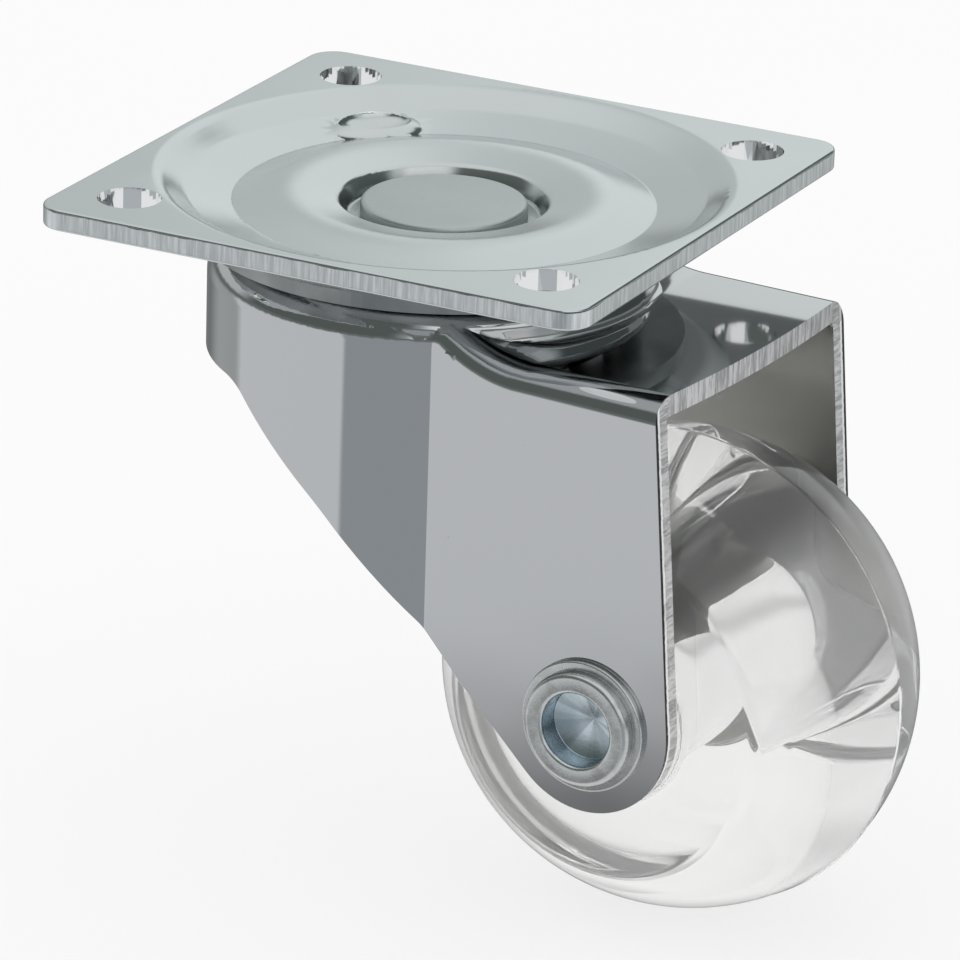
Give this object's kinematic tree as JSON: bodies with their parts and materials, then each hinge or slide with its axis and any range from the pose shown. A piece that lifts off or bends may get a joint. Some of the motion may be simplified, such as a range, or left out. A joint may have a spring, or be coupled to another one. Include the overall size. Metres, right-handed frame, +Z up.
{
  "type": "furniture caster",
  "caption": "Swivel plate caster with a square mounting plate, chrome fork and clear plastic wheel",
  "frame": {"origin": "centre of the four plate holes, in the plate's top face", "axes": "+Z up out of the plate's top face along the kingpin; X and Y along the plate's sides; the fork trails towards +X"},
  "size_m": [0.0839, 0.06, 0.0711],
  "materials": {
    "zinc_plate": "bright zinc plated pressed steel, satin",
    "fork_chrome": "polished chrome plating on pressed steel",
    "race_steel": "hardened steel, satin",
    "ball_steel": "polished bearing steel",
    "rivet_steel": "nickel plated steel, lightly turned",
    "sleeve_steel": "drawn steel tube, bright",
    "washer_zinc": "zinc plated, satin",
    "clear_wheel": "clear moulded plastic, polished"
  },
  "bodies": {
    "plate": {"mounting_plate": "zinc_plate", "upper_race": "race_steel", "kingpin": "rivet_steel", "lower_race": "race_steel"},
    "upper_balls": {"upper_ball_01": "ball_steel", "upper_ball_02": "ball_steel", "upper_ball_03": "ball_steel", "upper_ball_04": "ball_steel", "upper_ball_05": "ball_steel", "upper_ball_06": "ball_steel", "upper_ball_07": "ball_steel", "upper_ball_08": "ball_steel", "upper_ball_09": "ball_steel", "upper_ball_10": "ball_steel", "upper_ball_11": "ball_steel", "upper_ball_12": "ball_steel", "upper_ball_13": "ball_steel", "upper_ball_14": "ball_steel", "upper_ball_15": "ball_steel", "upper_ball_16": "ball_steel", "upper_ball_17": "ball_steel", "upper_ball_18": "ball_steel"},
    "lower_balls": {"lower_ball_01": "ball_steel", "lower_ball_02": "ball_steel", "lower_ball_03": "ball_steel", "lower_ball_04": "ball_steel", "lower_ball_05": "ball_steel", "lower_ball_06": "ball_steel", "lower_ball_07": "ball_steel", "lower_ball_08": "ball_steel", "lower_ball_09": "ball_steel", "lower_ball_10": "ball_steel", "lower_ball_11": "ball_steel", "lower_ball_12": "ball_steel"},
    "fork": {"fork": "fork_chrome", "axle": "rivet_steel", "axle_sleeve": "sleeve_steel", "axle_washer_near": "washer_zinc", "axle_washer_far": "washer_zinc"},
    "wheel": {"wheel": "clear_wheel"}
  },
  "joints": [
    {"name": "swivel", "type": "hinge", "parent": "plate", "child": "fork", "pos_m": [0, 0, 0], "axis": [0, 0, 1], "continuous": true},
    {"name": "wheel_spin", "type": "hinge", "parent": "fork", "child": "wheel", "pos_m": [0.02884, -0.00192, -0.046], "axis": [0.0663, 0.9978, 0], "continuous": true},
    {"name": "upper_balls_orbit", "type": "hinge", "parent": "plate", "child": "upper_balls", "pos_m": [0, 0, -0.0068], "axis": [0, 0, 1], "continuous": true},
    {"name": "lower_balls_orbit", "type": "hinge", "parent": "plate", "child": "lower_balls", "pos_m": [0, 0, -0.01095], "axis": [0, 0, 1], "continuous": true}
  ],
  "couplings": [
    {"joint": "upper_balls_orbit", "follows": "swivel", "ratio": 0.5},
    {"joint": "lower_balls_orbit", "follows": "swivel", "ratio": 0.5}
  ]
}
